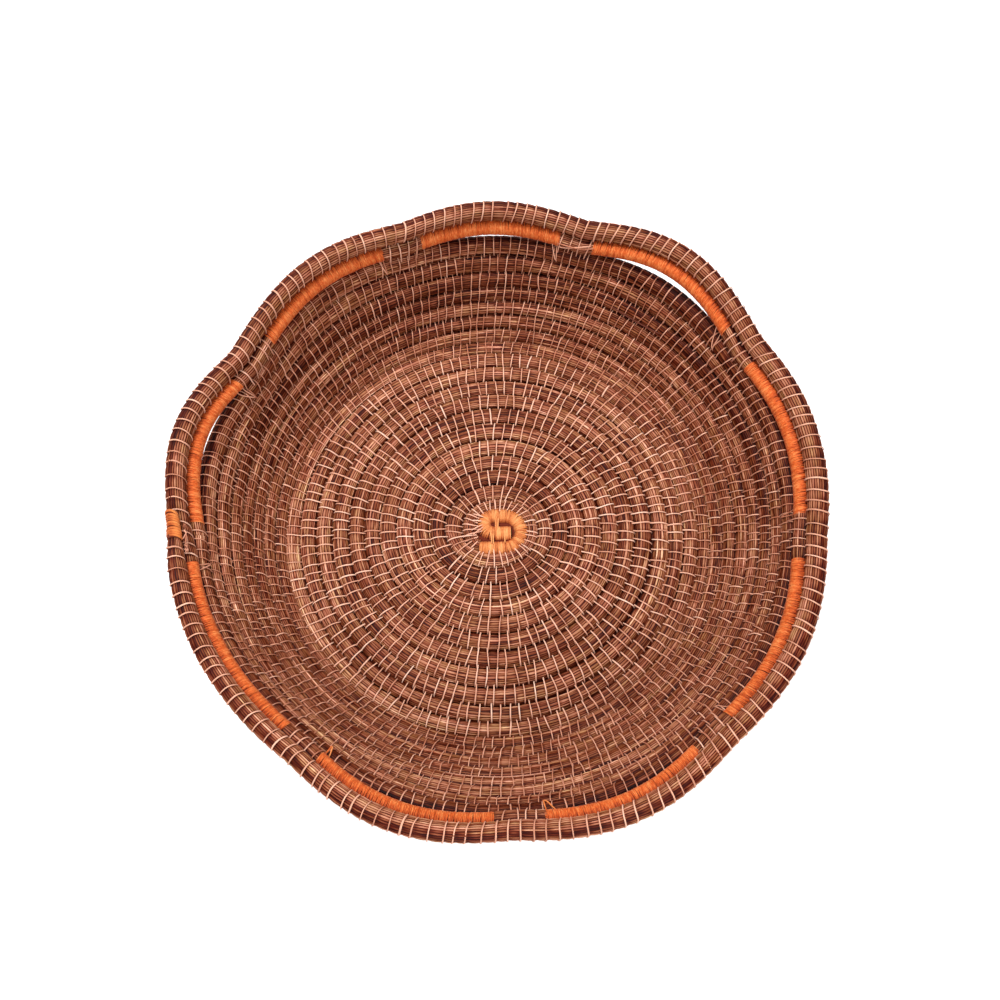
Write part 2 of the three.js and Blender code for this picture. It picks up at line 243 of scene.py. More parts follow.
first_base_turns = start_turns + (start_angle - join_angle) / 360.0
first_wall_turns = first_base_turns + base_turns
first_arch_turns = first_wall_turns + wall_turns
first_rim_turns = first_arch_turns + 1 - (rim_join_angle - join_angle) / 360.0
last_rim_turns = first_arch_turns + 2 + (join_angle - rim_end_angle) / 360.0
shown_rim_turns = last_rim_turns + 0.6 / 360.0


def arch_at(angle):
    """Rise of the arches above their feet, outset of the feet and how much closer the wall lies there."""
    turned = np.mod(arch_from[0] - angle, 360.0)
    begins = arch_from[0] - arch_from
    place = np.searchsorted(begins, turned, side="right") - 1
    after = (place + 1) % len(arch_from)
    share = (turned - begins[place]) / np.mod(arch_from[place] - arch_from[after], 360.0)
    swell = np.sin(np.pi * share) ** arch_shape
    outset = mix(arch_outset[place], arch_outset[after], smooth(share))
    return arch_height[place] * swell, outset, arch_closer[place] * swell


def coil_frames(turns):
    radius, height = meridian_at(turns)
    full = smooth((turns - start_turns) / 3)
    height = height - (coil_depth - mix(start_depth, coil_depth, full))
    rise, outset, closer = arch_at(angle_at(turns))
    followed = turns - first_arch_turns + follow_turns
    nearing = (turns - first_arch_turns + closer_before_arches) / closer_turns + 1
    closer = closer * smooth(nearing)
    lift = rise * follow_share * smooth(followed / follow_turns) + closer
    out = outset * smooth(followed / outset_turns) + arch_bulge * (lift - closer) + closer_out * closer
    oval = np.interp(turns, wander_turns, wander_oval) * np.cos(2 * np.radians(angle_at(turns)))
    out = out + (np.interp(turns, wander_turns, wander_out) + oval) * mm
    centre, across, through, along = frames_at(
        turns, angle_at(turns), radius + out, height + lift, slope_at(turns))
    aside = [np.interp(turns, wander_turns, wander) * mm for wander in (wander_right, wander_far)]
    return centre + np.stack([*aside, 0 * turns], -1), across, through, along


def arch_frames(turns):
    radius, height = meridian_at(turns)
    rise, outset, _ = arch_at(angle_at(turns))
    slope = (slope_at(turns) + rim_slope) / 2
    return frames_at(turns, angle_at(turns), radius + outset + arch_bulge * rise, height + rise, slope)


def near_share(turns):
    """How far the rim has got from its thick far side to its thin near side."""
    thinned = (turns - first_arch_turns - 1) * 360.0 - (join_angle - rim_thinning[0])
    return smooth(thinned / (rim_thinning[0] - rim_thinning[1]))


def rim_frames(turns):
    rise, outset, _ = arch_at(angle_at(turns))
    below_radius, below_height = meridian_at(turns - 1)
    above_radius, above_height = meridian_at(turns)
    turned = (turns - first_rim_turns) * 360.0
    leaning = smooth(turned / rim_lean_angle)
    bulge = rim_start_bulge * (1 - smooth(turned / rim_bulge_angle))
    steep = rim_slope + rim_steepening * outset / mm
    thick = mix(rim_radius, rim_near_radius, near_share(turns))
    spacing = (wrap_radius + thick) * flat_of_eight + rim_clearance
    radius = mix(above_radius, below_radius + spacing * np.cos(np.radians(steep)) + bulge, leaning)
    height = mix(above_height, below_height + spacing * np.sin(np.radians(steep)), leaning)
    slope = mix((slope_at(turns) + rim_slope) / 2, steep, leaning)
    lift = rise + rim_tip_lift * (1 - smooth((last_rim_turns - turns) * 360.0 / rim_taper_angle))
    return frames_at(turns, angle_at(turns), radius + outset + arch_bulge * rise, height + lift, slope)


def length_along(centres):
    steps = np.linalg.norm(np.diff(centres, axis=0), axis=1)
    return np.concatenate([[0.0], np.cumsum(steps)])


def level_frames(path, height):
    """Frames along a level path of the plane, as a function of the share of its length."""
    run = length_along(path)

    def frames(share):
        place = share * run[-1]
        step = run[-1] * 0.004
        low, high = np.clip(place - step, 0, run[-1]), np.clip(place + step, 0, run[-1])
        point = [np.interp(place, run, path[:, i]) for i in (0, 1)]
        ahead = [np.interp(high, run, path[:, i]) - np.interp(low, run, path[:, i]) for i in (0, 1)]
        centre = np.stack([point[0], point[1], height + 0 * share], -1)
        along = unit(np.stack([ahead[0], ahead[1], 0 * share], -1))
        through = np.broadcast_to([0.0, 0.0, 1.0], along.shape)
        return centre, np.cross(through, along), through, along
    return frames


# The bare coil leaves the start in a bend, drawn here as one curve with four control points
lead_turns = first_base_turns - 0.13
bend_level = 2 * turn_centre[1] - 2 * fold_centre[1] + bar_level
bend_from = np.array([turn_end + 0.6 * mm, bend_level]) - footprint_centre
coil_begins, _, _, coil_heading = (v[0] for v in coil_frames(np.array([first_base_turns])))
bend_points = [
    bend_from,
    bend_from - [3.4 * mm, 0.0],
    coil_begins[:2] - 4.4 * mm * coil_heading[:2],
    coil_begins[:2],
]
bend_share = np.linspace(0.0, 1.0, 60)[:, None]
bend_path = sum(
    factor * (1 - bend_share) ** (3 - i) * bend_share ** i * bend_points[i]
    for i, factor in enumerate((1, 3, 3, 1)))
bend_frames = level_frames(bend_path, start_depth)


def base_frames(turns):
    late = coil_frames(np.maximum(turns, first_base_turns))
    early = bend_frames(np.clip((turns - lead_turns) / (first_base_turns - lead_turns), 0, 1))
    before = (turns < first_base_turns)[:, None]
    return tuple(np.where(before, a, b) for a, b in zip(early, late))


# The start: a wound bar, folded back and bent into one turn
def arc(centre, radius, from_angle, to_angle, steps=60):
    angle = np.radians(np.linspace(from_angle, to_angle, steps))
    return centre + radius * np.stack([np.cos(angle), np.sin(angle)], -1)


fold_radius = fold_centre[1] - bar_level
turn_centre = turn_centre + start_slack
turn_radius = fold_centre[1] + fold_radius - turn_centre[1]
start_path = np.concatenate([
    [[bar_end, bar_level]], arc(fold_centre, fold_radius, 270, 90), arc(turn_centre, turn_radius, 90, -90),
    [[turn_end, turn_centre[1] - turn_radius]],
]) - footprint_centre
start_height = 3.75 * mm
start_bundle = 3.6 * mm
start_frames = level_frames(start_path, start_height)


# Meshes: every piece is a set of tubes, each a list of rings with the same number of points
def tube_mesh(name, tubes, attributes, grain, strips=1):
    """A mesh of tubes[tube, ring, point, xyz]. Rings run along a tube, and its ends are closed.
    grain[tube, ring, point + 1, 2] is the pattern map in metres, and strips says into how many rows
    a long tube is folded in its layout map."""
    count, rings, points, _ = tubes.shape
    vertices = tubes.reshape(-1, 3).copy()
    # nothing dips below the level the basket stands on: what would is pressed flat against it
    height = vertices[:, 2]
    pressed = floor_softness * np.exp(np.minimum(height - floor_softness, 0.0) / floor_softness)
    vertices[:, 2] = np.where(height < floor_softness, pressed, height)
    tube_index, ring_index, point_index = np.meshgrid(
        np.arange(count), np.arange(rings - 1), np.arange(points), indexing="ij")
    next_point = (point_index + 1) % points
    start = tube_index * rings * points
    quads = np.stack([
        start + ring_index * points + point_index,
        start + ring_index * points + next_point,
        start + (ring_index + 1) * points + next_point,
        start + (ring_index + 1) * points + point_index,
    ], -1).reshape(-1, 4)
    base = (np.arange(count) * rings * points)[:, None]
    caps = np.concatenate([base + np.arange(points)[::-1], base + (rings - 1) * points + np.arange(points)])
    corners = np.concatenate([quads.ravel(), caps.ravel()])
    sizes = np.concatenate([np.full(len(quads), 4), np.full(len(caps), points)])
    mesh = bpy.data.meshes.new(name)
    mesh.vertices.add(len(vertices))
    mesh.vertices.foreach_set("co", vertices.astype(np.float32).ravel())
    mesh.loops.add(len(corners))
    mesh.loops.foreach_set("vertex_index", corners.astype(np.int32))
    mesh.polygons.add(len(sizes))
    starts = np.concatenate([[0], np.cumsum(sizes)[:-1]])
    mesh.polygons.foreach_set("loop_start", starts.astype(np.int32))
    mesh.polygons.foreach_set("loop_total", sizes.astype(np.int32))
    mesh.polygons.foreach_set("use_smooth", np.arange(len(sizes)) < len(quads))
    mesh.update()

    # The layout map: each tube, or each strip of a long one, is a cell of the unit square
    per_strip = math.ceil((rings - 1) / strips)
    cells = count * strips
    columns = max(1, round(math.sqrt(cells))) if strips == 1 else 1
    rows = math.ceil(cells / columns)
    cell = tube_index * strips + ring_index // per_strip
    column, row = cell % columns, cell // columns
    along = (ring_index % per_strip) / per_strip
    margin = 0.04
    low_u = (column + margin + (1 - 2 * margin) * along) / columns
    high_u = (column + margin + (1 - 2 * margin) * (along + 1 / per_strip)) / columns
    low_v = (row + margin + (1 - 2 * margin) * point_index / points) / rows
    high_v = (row + margin + (1 - 2 * margin) * (point_index + 1) / points) / rows
    layout = np.stack([low_u, low_v, low_u, high_v, high_u, high_v, high_u, low_v], -1).reshape(-1, 2)
    pattern = np.stack([
        grain[tube_index, ring_index, point_index],
        grain[tube_index, ring_index, point_index + 1],
        grain[tube_index, ring_index + 1, point_index + 1],
        grain[tube_index, ring_index + 1, point_index],
    ], -2).reshape(-1, 2)
    cap_uv = np.full((len(corners) - len(layout), 2), 0.001)
    for key, places in (("OFBake", layout), ("grain", pattern)):
        layer = mesh.uv_layers.new(name=key)
        layer.data.foreach_set("uv", np.concatenate([places, cap_uv]).astype(np.float32).ravel())
    for key, values in attributes.items():
        attribute = mesh.attributes.new(key, "FLOAT", "POINT")
        attribute.data.foreach_set("value", values.astype(np.float32).ravel())
    mesh.validate()
    piece = bpy.data.objects.new(name, mesh)
    bpy.context.scene.collection.objects.link(piece)
    return piece


def grain_of(run, girth):
    """The pattern map of tubes, from the lengths along them and round them."""
    return np.stack(np.broadcast_arrays(run[..., None], girth), -1)


def spokes(sides, across, through):
    """Unit directions from a tube's middle to the points of each ring."""
    phi = 2 * np.pi * np.arange(sides) / sides
    return np.cos(phi)[:, None] * across[:, None, :] + np.sin(phi)[:, None] * through[:, None, :]


def settle(piece, material, slot, *nodes):
    piece.data.materials.append(material)
    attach(piece, "root")
    if nodes:
        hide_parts(*nodes)


# Node materials
def node_tools(material):
    material.use_nodes = True
    tree = material.node_tree
    tree.nodes.clear()

    def add(kind, **settings):
        node = tree.nodes.new(kind)
        for key, value in settings.items():
            setattr(node, key, value)
        return node

    def join(source, target):
        tree.links.new(source, target)

    return add, join


def preset(node, values):
    for key, value in values.items():
        node.inputs[key].default_value = value


def ramp(add, join, stops, value):
    """The colours of the stops by a value, the end ones where it goes below 0 or above 1."""
    node = add("ShaderNodeValToRGB")
    elements = node.color_ramp.elements
    while len(elements) > 1:
        elements.remove(elements[-1])
    for i, (place, colour) in enumerate(stops):
        element = elements[0] if i == 0 else elements.new(place)
        element.position = place
        element.color = (*colour, 1.0)
    join(value, node.inputs["Fac"])
    return node.outputs["Color"]


def linear(red, green, blue):
    """A colour as it is seen, 0 to 255, as the shader's linear values."""
    values = np.array([red, green, blue]) / 255.0
    return tuple(np.where(values <= 0.04045, values / 12.92, ((values + 0.055) / 1.055) ** 2.4))


def maths(add, join, operation, *values):
    node = add("ShaderNodeMath", operation=operation)
    for socket, value in zip(node.inputs, values):
        if isinstance(value, (int, float)):
            socket.default_value = value
        else:
            join(value, socket)
    return node.outputs[0]


def multiplied(add, join, first, second):
    """Two colours multiplied."""
    node = add("ShaderNodeMix", data_type="RGBA", blend_type="MULTIPLY")
    preset(node, {"Factor": 1.0})
    join(first, node.inputs["A"])
    join(second, node.inputs["B"])
    return node.outputs["Result"]


def swing(add, join, value, amount):
    """A value from 0 to 1 as a change of the given size either way."""
    return maths(add, join, "MULTIPLY_ADD", value, amount, -amount / 2)


def grain_noise(add, join, stretch, scale, detail=3.0):
    """Noise drawn out along the coil by the given stretch, in a map in metres."""
    place = add("ShaderNodeUVMap", uv_map="grain")
    mapping = add("ShaderNodeMapping")
    preset(mapping, {"Scale": (scale / stretch, scale, scale)})
    join(place.outputs[0], mapping.inputs["Vector"])
    noise = add("ShaderNodeTexNoise", noise_dimensions="2D")
    preset(noise, {"Scale": 1.0, "Detail": detail, "Roughness": 0.6})
    join(mapping.outputs[0], noise.inputs["Vector"])
    return noise.outputs["Fac"]


def finish_material(add, join, colour, height, roughness, bump_depth, shine, sheen=0.0):
    """A dull surface of the given colour, with fine relief."""
    shader = add("ShaderNodeBsdfPrincipled")
    join(colour, shader.inputs["Base Color"])
    preset(shader, {"Roughness": roughness, "Specular IOR Level": shine, "Sheen Weight": sheen})
    bump = add("ShaderNodeBump")
    preset(bump, {"Strength": 0.5, "Distance": bump_depth})
    join(height, bump.inputs["Height"])
    join(bump.outputs["Normal"], shader.inputs["Normal"])
    join(shader.outputs[0], add("ShaderNodeOutputMaterial").inputs["Surface"])


def toned(add, join, stops, *noises):
    """The stops' colours by the piece's own tone, changed by each noise to its own extent."""
    value = add("ShaderNodeAttribute", attribute_name="tone").outputs["Fac"]
    for noise, extent in noises:
        value = maths(add, join, "ADD", value, swing(add, join, noise, extent))
    return ramp(add, join, stops, value)


needle_stops = [
    (0.0, linear(80, 24, 2)), (0.25, linear(122, 61, 33)), (0.5, linear(158, 98, 69)),
    (0.75, linear(196, 137, 106)), (1.0, linear(240, 188, 154)),
]
tint_stops = [(0.3, (0.93, 1.03, 0.84)), (0.5, (1.0, 1.0, 1.0)), (0.7, (1.03, 0.94, 1.04))]
# Painted shade, multiplied into the needles' colour: from the grooves between needles (0) to lit crowns (0.8
# and up)
painted_gap_shade_stops = [(0.0, (0.07, 0.005, 0.0005)), (0.25, (0.24, 0.06, 0.015)), (0.55, (0.66, 0.48, 0.37)),
             (0.8, (1.0, 1.0, 1.0))]


def needle_material(name, painted_gap_shade_swing):
    """Dry pine needles: tone by needle, painted shade in the grooves between needles, down their sides and
    under the stitches, fine streaks along them.
    """
    material = bpy.data.materials.new(name)
    add, join = node_tools(material)
    ridge_and_painted_shade = add("ShaderNodeAttribute", attribute_name="ridge_and_painted_shade").outputs["Fac"]
    fine = grain_noise(add, join, stretch=24.0, scale=3200.0)
    broad = grain_noise(add, join, stretch=10.0, scale=420.0)
    colours = toned(add, join, needle_stops, (fine, 0.4), (broad, 0.3))
    tint = ramp(add, join, tint_stops, grain_noise(add, join, stretch=5.0, scale=300.0, detail=2.0))
    gaps = grain_noise(add, join, stretch=9.0, scale=900.0, detail=1.0)
    # painted shade: the shade attribute, swung by noise, darkens the grooves, the row sides and the stitched
    # places
    depth = maths(add, join, "ADD", ridge_and_painted_shade, swing(add, join, gaps, painted_gap_shade_swing))
    colours = multiplied(add, join, multiplied(add, join, colours, tint), ramp(add, join, painted_gap_shade_stops, depth))
    finish_material(add, join, colours, fine, roughness=0.6, bump_depth=0.12 * mm, shine=0.12)
    return material


def raffia_material(name, stops, roughness, fibre=0.35):
    """Raffia: tone by turn or stitch, fine fibres along the thread."""
    material = bpy.data.materials.new(name)
    add, join = node_tools(material)
    fine = grain_noise(add, join, stretch=14.0, scale=5200.0)
    speckle = grain_noise(add, join, stretch=3.0, scale=1500.0, detail=2.0)
    colours = toned(add, join, stops, (fine, fibre), (speckle, fibre))
    finish_material(add, join, colours, fine, roughness, bump_depth=0.08 * mm, shine=0.2, sheen=0.05)
    return material


needles = needle_material("needles", painted_gap_shade_swing=1.3)
# the rim gets less painted shade in its gaps
rim_needles = needle_material("rim_needles", painted_gap_shade_swing=0.9)
thread = raffia_material("stitch_raffia", [
    (0.0, linear(176, 104, 74)), (0.5, linear(234, 176, 148)), (1.0, linear(250, 216, 194))], 0.55)
orange = raffia_material("orange_raffia", [
    (0.0, linear(122, 30, 2)), (0.5, linear(212, 94, 34)), (1.0, linear(248, 162, 94))], 0.6, fibre=0.9)
binding = raffia_material("binding_raffia", [
    (0.0, linear(164, 70, 24)), (0.5, linear(222, 128, 62)), (1.0, linear(244, 168, 104))], 0.6)
pale_orange = raffia_material("start_raffia", [
    (0.0, linear(142, 50, 14)), (0.5, linear(206, 120, 64)), (1.0, linear(236, 168, 106))], 0.6, fibre=0.7)
# seam: dark brown, for the painted shade under the base's seams and for a dark needle sprung out of the wall
seam = raffia_material("seam", [(0.0, linear(44, 14, 8)), (1.0, linear(96, 44, 30))], 0.8)
# a dark fill of painted shade, showing between the turns of the windings and in the start's slots
painted_shade_fill = raffia_material("wrap_core", [(0.0, linear(84, 26, 10)), (1.0, linear(120, 42, 16))], 0.8)


# How light or dark the needles are along the coil: from, to (turns), by how much
tone_edge = 0.12
dark_lengths = [
    (3.3, 4.4, -0.16), (7.65, 8.45, -0.16), (8.9, 9.4, -0.12), (14.6, 15.4, -0.1), (15.7, 16.0, -0.1),
    (16.7, 17.05, -0.18), (17.55, 18.2, -0.28), (18.7, 19.05, -0.16), (19.78, 20.6, -0.25),
]
light_lengths = [
    (1.5, 2.6, 0.08), (5.2, 6.9, 0.07), (10.4, 11.2, 0.06), (12.3, 13.2, 0.1), (22.1, 22.55, 0.14),
]


def tone_along(turns):
    tone = 0.48 + 0.12 * (value_noise(turns * 6.0, 3) - 0.5) + 0.12 * (value_noise(turns * 1.7, 4) - 0.5)
    for low, high, change in dark_lengths + light_lengths:
        tone = tone + change * smooth((turns - low) / tone_edge) * smooth((high - turns) / tone_edge)
    return tone


def stitch_turns(frames, first, last, spacing_at):
    """Turns at which stitches cross the coil, evenly spaced apart from the hand's unevenness."""
    fine = np.linspace(first, last, int((last - first) * 720) + 2)
    length = length_along(frames(fine)[0])
    steps = np.diff(length) / spacing_at((fine[1:] + fine[:-1]) / 2)
    stitch = np.concatenate([[0.0], np.cumsum(steps)])
    count = round(stitch[-1])
    places = (np.arange(count) + 0.5) * stitch[-1] / count + rng.normal(0, 0.09, count)
    return np.interp(places, stitch, fine)


def constant(value):
    return lambda turns: value + 0 * turns


def coil_spacing(turns):
    base = mix(first_stitch_spacing, base_stitch_spacing, smooth((turns - 1.9) / 1.3))
    return mix(base, wall_stitch_spacing, smooth((turns - flat_turns + 1) / 2))


total_turns = np.linspace(0.0, 23.0, 23 * 360)
total_run = np.concatenate([[0.0], np.cumsum(
    2 * np.pi * np.maximum(meridian_at(total_turns[1:])[0], 1 * mm) * np.diff(total_turns))])


needle_length = 80 * mm
lift_length = 26 * mm
swell_length = 50 * mm
twist_length = 210 * mm
bundle_seed = 40


def bundle(frames, first, last, stitches, reach_at, depth_at, squareness, drawn, pinch, variety, tone_shift):
    """Rings of a needle bundle between two turns, drawn in a little under each stitch."""
    inside = stitches[(stitches > first) & (stitches < last)]
    marks = np.concatenate([[first], inside, [last]])
    steps = np.arange(len(drawn)) / len(drawn)
    turns = np.append((marks[:-1, None] + np.diff(marks)[:, None] * steps).ravel(), last)
    tight = np.append(np.tile(drawn, len(marks) - 1), 1.0)
    tight[0] = tight[-1] = 0.0
    centre, across, through, _ = frames(turns)
    # the length of coil up to these rings, counted from the coil's beginning so that pieces match
    run = np.interp(turns, total_turns, total_run)
    points = needles_round * points_per_needle
    twist = 0.5 * value_noise(run / twist_length, bundle_seed)
    index = np.arange(points)
    theta = 2 * np.pi * (index[None, :] + 0.5) / points + twist[:, None]
    needle = index // points_per_needle
    # crown points of each needle; the others lie in the grooves, which also get the painted shade
    ridge_and_painted_shade = index % points_per_needle > 0
    # needles sink into the bundle and come up again along it
    lift = side_by_side(run / lift_length, 37.7, needles_round, bundle_seed + 11)[:, needle]
    swell = side_by_side(run / swell_length, 19.1, 6, bundle_seed + 12)[:, index * 6 // points] - 0.5
    rise = np.where(ridge_and_painted_shade, 0.36 * (lift - 0.3), -0.36) * mm
    rise = rise + 0.25 * mm * swell - pinch * tight[:, None]
    x, y = squared(np.cos(theta), squareness), squared(np.sin(theta), squareness)
    # how near a point is to the sides facing the neighbouring turns, darkened there as painted shade
    side = smooth((np.abs(x) - 0.72) / 0.28)
    x, y = x * reach_at(turns)[:, None], y * depth_at(turns)[:, None]
    size = np.hypot(x, y)
    x, y = x * (1 + rise / size), y * (1 + rise / size)
    rings = centre[:, None, :] + x[..., None] * across[:, None, :] + y[..., None] * through[:, None, :]
    # each needle has its own tone, and one follows another along the bundle
    begins = 7.31 * (np.arange(needles_round) * 0.618 % 1)
    segment = np.floor(run[:, None] / needle_length + begins).astype(int)
    table = np.random.default_rng(bundle_seed + 13).normal(0, 1, tone_cells)
    own = table[(segment * 31 + np.arange(needles_round) * 57) % tone_cells][:, needle]
    # and shows a little otherwise between each two stitches
    between = np.searchsorted(stitches, turns + 1e-6)
    patch = table[(between[:, None] * 37 + np.arange(needles_round) * 101) % tone_cells][:, needle]
    # painted shade and light: needles darker where the stitches draw them in, raised needles lighter
    tone = (tone_along(turns) + tone_shift - 0.1 * tight)[:, None]
    tone = tone + variety * (0.12 * own + 0.11 * patch) + 0.14 * (lift - 0.5)
    grain = grain_of(run, 2 * np.pi * coil_depth * np.arange(points + 1) / points)
    # painted shade, kept as an attribute: dark in the grooves, lighter on raised crowns, darker down the
    # sides and under the stitches
    shade = np.where(ridge_and_painted_shade, 0.6 + 0.6 * lift, 0.0) * (1 - 0.6 * side) * (1 - 0.3 * tight[:, None])
    return rings[None], tone, np.clip(shade, 0, 1), grain[None]


def bundle_piece(name, node, frames, first, last, stitches, reach_at, depth_at, squareness=2.5,
                 drawn=(1.0, 0.12, 0.12), pinch=0.2 * mm, slot="needle_bundle", variety=1.0, tone_shift=0.0):
    rings, tone, ridge_and_painted_shade, grain = bundle(
        frames, first, last, stitches, reach_at, depth_at, squareness, drawn, pinch, variety, tone_shift)
    strips = max(1, round(math.sqrt(rings.shape[1] * 1.25 / 27.0)))
    piece = tube_mesh(name, rings, {"tone": tone, "ridge_and_painted_shade": ridge_and_painted_shade}, grain, strips)
    settle(piece, rim_needles if node == "rim_coil" else needles, slot, node)


def threads_piece(name, material, slot, rings, tone_shift=0.0):
    """A piece of many short threads, rings[thread, ring, point, xyz], each with its own tone."""
    count, steps, sides, _ = rings.shape
    tone = np.clip(rng.normal(0.5 + tone_shift, 0.13, count), 0.05, 0.95)
    tone = np.broadcast_to(tone[:, None, None], rings.shape[:3])
    run = np.linspace(0, 1, steps) * 16 * mm + np.arange(count)[:, None] * 23 * mm
    grain = grain_of(run, np.arange(sides + 1) * thread_side)
    piece = tube_mesh(name, rings, {"tone": tone}, grain)
    settle(piece, material, slot)


def stitches_piece(name, frames, turns, path, width, slant, slot="needle_bundle", tone_shift=0.0):
    """Raffia stitches: each one thread along its points in the coil's section."""
    centre, across, through, along = frames(turns)
    count = len(turns)
    tangent = np.gradient(path, axis=1)
    normal = unit(np.stack([tangent[..., 1], -tangent[..., 0]], -1))
    normal = normal * np.sign((normal * path).sum(-1)).mean(1)[:, None, None]
    lean = rng.normal(slant, 0.3 * mm, count)[:, None]
    bow = rng.normal(0, 0.12 * mm, count)[:, None]
    height = path[..., 0] / coil_depth
    # straight across the side that shows, and on by as much again round the back
    steps = path.shape[1]
    back = np.arange(steps)[None, :] > steps // 2
    offset = lean * np.where(back, 2 - height, height) + bow * (1 - height ** 2)
    scale = rng.normal(1.0, 0.12, count)[:, None, None]
    phi = 2 * np.pi * np.arange(thread_sides) / thread_sides
    side = width * scale * np.cos(phi)
    rise = stitch_thickness * np.sin(phi)[None, None, :]
    a = path[..., 0, None] + normal[..., 0, None] * rise
    b = path[..., 1, None] + normal[..., 1, None] * rise
    c = offset[..., None] + side
    rings = (centre[:, None, None, :] + a[..., None] * across[:, None, None, :]
             + b[..., None] * through[:, None, None, :] + c[..., None] * along[:, None, None, :])
    threads_piece(name, thread, slot, rings, tone_shift)


def to_start(turns):
    """Distance in plan from the coil to the middle of the wound start."""
    away = base_frames(turns)[0][:, None, :2] - start_path[None, :, :]
    return np.linalg.norm(away, axis=-1).min(1)[:, None]


def over_coil(turns, reach_at, depth_at, bite_low, bite_high, spacing):
    """A stitch in the coil's section: it leaves the turn before, passes over the coil and returns below
    it. In the first turn it leaves the wound start instead, from the side of its crown."""
    reach = reach_at(turns)[:, None] + stitch_clearance
    depth = depth_at(turns)[:, None] + stitch_clearance
    bite = rng.uniform(bite_low, bite_high, len(turns))[:, None]
    inmost = (turns < first_base_turns + 1)[:, None]
    over_start = start_bundle * rng.uniform(0.5, 0.8, len(turns))[:, None]
    bite = np.where(inmost, to_start(turns) - over_start - reach, bite)
    t = np.linspace(-1.0, 1.0, stitch_rings)[None, :]
    theta = t * np.pi * 0.80
    x = reach * squared(np.cos(theta), stitch_squareness)
    y = -depth * squared(np.sin(theta), stitch_squareness)
    end = smooth((np.abs(t) - 0.80) / 0.2)
    sink = np.sqrt(np.maximum(1 - ((spacing - reach - bite) / depth) ** 2, 0))
    top = np.where(inmost & (t < 0), start_height + start_bundle * 0.9 - start_depth, depth * sink * 0.93)
    x = mix(x, -reach - bite, end)
    y = mix(y, -np.sign(t) * top, end)
    return np.stack([x, y], -1)


def coil_reach(turns):
    """Half the room between the turns on either side, less where the first needles are few."""
    here, after = (coil_frames(turns + k)[0] for k in (0, 1))
    before = coil_frames(np.maximum(turns - 1, start_turns))[0]
    ahead, behind = np.linalg.norm(after - here, axis=-1), np.linalg.norm(here - before, axis=-1)
    outer = smooth((turns - first_arch_turns + 1.2) / 0.3)
    room = np.where(turns < start_turns + 1.5, ahead, (ahead + behind) / 2) / 2
    top = top_bundle_reach + closer_reach * arch_at(angle_at(turns))[2]
    room = mix(room + wall_overlap * smooth((turns - flat_turns) / 2), top, outer)
    return room * mix(thin_share, 1.0, smooth((turns - start_turns) / 1.6))


def base_depth(turns):
    return mix(thin_bundle_depth, bundle_depth, smooth((turns - start_turns) / 3))


base_stitches = stitch_turns(base_frames, lead_turns + 0.02, first_arch_turns, coil_spacing)


def coil_pieces(kind, node, first, last, parts, bites, spacing, slant, width, tone_shift):
    """A long coil in parts of about the same length, each with its stitches."""
    edges = np.interp(np.linspace(*np.interp([first, last], total_turns, total_run), parts + 1),
                      total_run, total_turns)
    for i in range(parts):
        low, high = edges[i], edges[i + 1]
        bundle_piece(
            f"{kind}_needles_{i + 1}", node, base_frames, low, high, base_stitches, coil_reach, base_depth)
        chosen = base_stitches[(base_stitches > low) & (base_stitches <= high)]
        path = over_coil(chosen, coil_reach, base_depth, *bites, spacing)
        stitches_piece(f"{kind}_stitches_{i + 1}", base_frames, chosen, path,
                       width=width, slant=slant, tone_shift=tone_shift)


coil_pieces("base", "base_coil", lead_turns, first_wall_turns, parts=3, bites=(0.4 * mm, 1.4 * mm),
            spacing=pitch, slant=0.1 * mm, width=0.35 * mm, tone_shift=0.0)
# the wall's stitches are toned darker than the base's, as painted shade
coil_pieces("wall", "wall_coil", first_wall_turns, first_arch_turns, parts=4, bites=(0.3 * mm, 1.7 * mm),
            spacing=wall_pitch, slant=0.45 * mm, width=0.3 * mm, tone_shift=-0.26)


# The arches: bare at their feet, drawn in where raffia is wound round them
def turns_of(angle, base):
    return base + np.mod(join_angle - angle, 360.0) / 360.0


wrap_spans = [tuple(turns_of(np.array(wrap), first_arch_turns)) for wrap in arch_wraps]


def arch_size(turns):
    size = np.full_like(turns, arch_bundle)
    for low, high in wrap_spans:
        inside = smooth((turns - low) / 0.004) * smooth((high - turns) / 0.004)
        size = mix(size, arch_core, inside)
    return size


def outside_wraps(turns):
    keep = np.ones(len(turns), bool)
    for low, high in wrap_spans:
        keep &= (turns < low - 0.001) | (turns > high + 0.001)
    return keep


top_drawn = (1.0, 0.25, 0.0, 0.25)
arch_stitches = stitch_turns(
    arch_frames, first_arch_turns, first_rim_turns, constant(wall_stitch_spacing))
bundle_piece("arch_needles", "arch_coil", arch_frames, first_arch_turns, first_rim_turns, arch_stitches,
             arch_size, arch_size, squareness=2.1, drawn=top_drawn)
bare = arch_stitches[outside_wraps(arch_stitches)]
bare_path = over_coil(bare, arch_size, arch_size, 0.5 * mm, 2.0 * mm, wall_pitch)
stitches_piece("arch_stitches", arch_frames, bare, bare_path,
               width=0.34 * mm, slant=0.5 * mm, tone_shift=-0.1)


# The rim
def rim_size(turns):
    turned = (turns - first_rim_turns) * 360.0
    left = (shown_rim_turns - turns) * 360.0
    full = mix(rim_bundle, rim_near_bundle, near_share(turns))
    full = mix(arch_bundle, full, smooth(turned / rim_lean_angle))
    return mix(rim_tip_bundle, full, smooth(left / rim_taper_angle))


